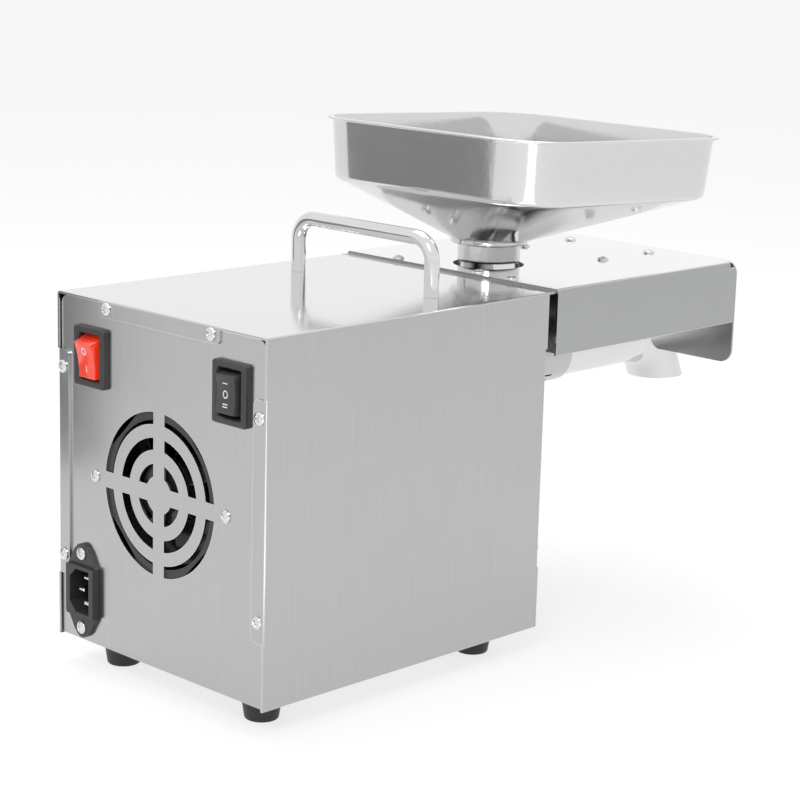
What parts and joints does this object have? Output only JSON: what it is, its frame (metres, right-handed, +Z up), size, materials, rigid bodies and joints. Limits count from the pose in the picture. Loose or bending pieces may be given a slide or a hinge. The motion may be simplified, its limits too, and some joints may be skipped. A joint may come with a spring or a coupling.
{
  "type": "screw oil press",
  "caption": "Table-top screw oil press: box housing with motor and gear train, lift-off square hopper, covered press barrel and downturned outlet.",
  "frame": {"origin": "on the table, under the middle of the machine's whole box (control side to outlet, both sides of the hopper)", "axes": "+X from the control panel to the outlet, along the press screw; +Y to the side with the red switch and the inlet; +Z up"},
  "size_m": [0.4203, 0.1748, 0.2807],
  "materials": {
    "panel_steel": "satin stainless sheet",
    "housing_steel": "satin stainless sheet, brighter on top",
    "cover_steel": "polished stainless sheet",
    "bracket_steel": "mill-finish stainless sheet",
    "hopper_steel": "polished stainless, spun lip",
    "handle_chrome": "mirror polish",
    "screw_chrome": "bright plating",
    "nut_steel": "zinc-plated",
    "barrel_steel": "turned stainless",
    "tube_steel": "polished stainless tube",
    "screw_steel": "hardened tool steel",
    "gear_steel": "cut and oiled steel",
    "shaft_steel": "ground steel",
    "bearing_steel": "ground bearing rings",
    "cast_alloy": "die-cast, as cast",
    "motor_paint": "black paint",
    "foot_rubber": "moulded rubber",
    "black_plastic": "moulded nylon",
    "inlet_plastic": "moulded thermoset",
    "fan_plastic": "moulded",
    "red_plastic": "clear-tinted, lit from behind",
    "rocker_black": "fine texture",
    "pin_nickel": "nickel-plated brass",
    "board_laminate": "green solder mask"
  },
  "bodies": {
    "machine": {"chassis": "panel_steel", "shell": "housing_steel", "back_screws": "screw_chrome", "front_screws": "screw_chrome", "feet": "foot_rubber", "foot_screws": "screw_chrome", "carry_handle": "handle_chrome", "handle_nuts": "nut_steel", "power_switch_body": "black_plastic", "direction_switch_body": "black_plastic", "inlet_body": "inlet_plastic", "inlet_pins": "pin_nickel", "inlet_screws": "screw_chrome", "fan_frame": "fan_plastic", "fan_screws": "screw_chrome", "gearbox_case": "cast_alloy", "gearbox_cover": "cast_alloy", "gearbox_screws": "nut_steel", "shaft_bearings": "bearing_steel", "motor": "motor_paint", "barrel": "barrel_steel", "barrel_bolts": "nut_steel", "feed_throat": "barrel_steel", "outlet_tube": "tube_steel", "choke_ring": "screw_steel", "outlet_spout": "tube_steel", "cover": "cover_steel", "cover_support": "bracket_steel", "cover_stays": "bracket_steel", "support_screws": "screw_chrome", "cover_screws": "screw_chrome", "board_bracket": "bracket_steel", "board_posts": "nut_steel", "control_board": "board_laminate"},
    "power_rocker": {"power_rocker": "red_plastic"},
    "direction_rocker": {"direction_rocker": "rocker_black"},
    "fan_rotor": {"fan_rotor": "fan_plastic"},
    "motor_drive": {"motor_shaft": "shaft_steel", "motor_pinion": "gear_steel"},
    "layshaft": {"layshaft": "shaft_steel", "layshaft_wheel": "gear_steel", "layshaft_pinion": "gear_steel"},
    "screw_drive": {"output_shaft": "shaft_steel", "output_wheel": "gear_steel", "press_screw": "screw_steel"},
    "hopper": {"hopper": "hopper_steel"}
  },
  "joints": [
    {"name": "power_switch_tilt", "type": "hinge", "parent": "machine", "child": "power_rocker", "pos_m": [-0.2001, 0.0526, 0.1685], "axis": [0, 1, 0], "range_deg": [0, 20]},
    {"name": "direction_switch_tilt", "type": "hinge", "parent": "machine", "child": "direction_rocker", "pos_m": [-0.2001, -0.0549, 0.1685], "axis": [0, 1, 0], "range_deg": [-10, 10]},
    {"name": "fan_spin", "type": "hinge", "parent": "machine", "child": "fan_rotor", "pos_m": [-0.1919, 0, 0.1066], "axis": [1, 0, 0], "continuous": true},
    {"name": "screw_spin", "type": "hinge", "parent": "machine", "child": "screw_drive", "pos_m": [0.0916, 0, 0.1442], "axis": [1, 0, 0], "continuous": true},
    {"name": "layshaft_spin", "type": "hinge", "parent": "machine", "child": "layshaft", "pos_m": [-0.0469, 0, 0.1067], "axis": [1, 0, 0], "continuous": true},
    {"name": "motor_spin", "type": "hinge", "parent": "machine", "child": "motor_drive", "pos_m": [-0.0469, 0, 0.07545], "axis": [1, 0, 0], "continuous": true},
    {"name": "hopper_lift", "type": "slide", "parent": "machine", "child": "hopper", "axis": [0, 0, 1], "range_m": [0, 0.06]}
  ],
  "couplings": [
    {"joint": "layshaft_spin", "follows": "screw_spin", "ratio": -2.5714},
    {"joint": "motor_spin", "follows": "screw_spin", "ratio": 6.6122}
  ]
}
